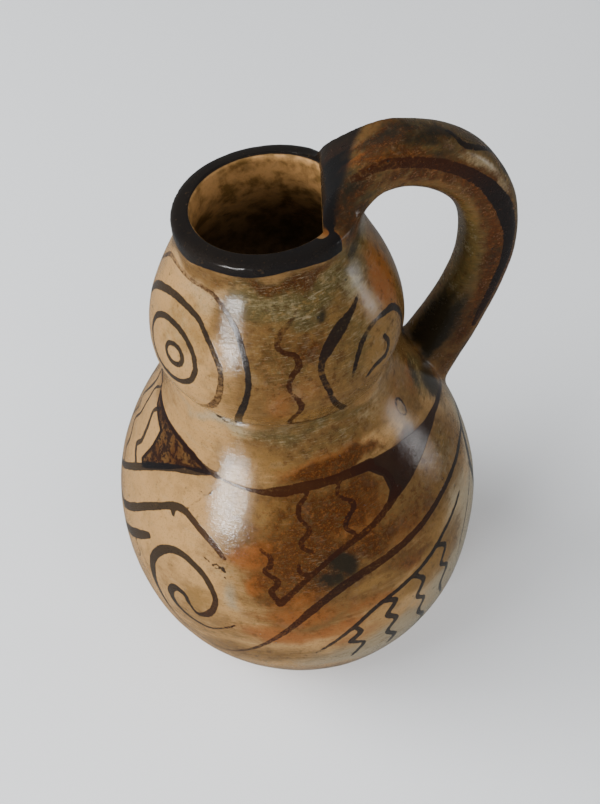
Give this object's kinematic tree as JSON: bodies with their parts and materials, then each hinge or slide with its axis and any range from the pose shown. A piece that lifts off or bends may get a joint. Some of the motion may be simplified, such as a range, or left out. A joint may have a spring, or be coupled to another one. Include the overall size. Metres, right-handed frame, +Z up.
{
  "type": "bi-lobe handled jar",
  "caption": "Hollow two-lobed jar of burnished slip-painted clay, open at a round lip, with one strap handle from lip to shoulder.",
  "frame": {"origin": "centre of the flat underside that the jar stands on", "axes": "+Z up through the mouth, +X from the body's axis towards the handle"},
  "size_m": [0.1851, 0.164, 0.2596],
  "materials": {
    "painted_clay": "satin"
  },
  "bodies": {
    "root": {"jar": "painted_clay"}
  },
  "joints": []
}
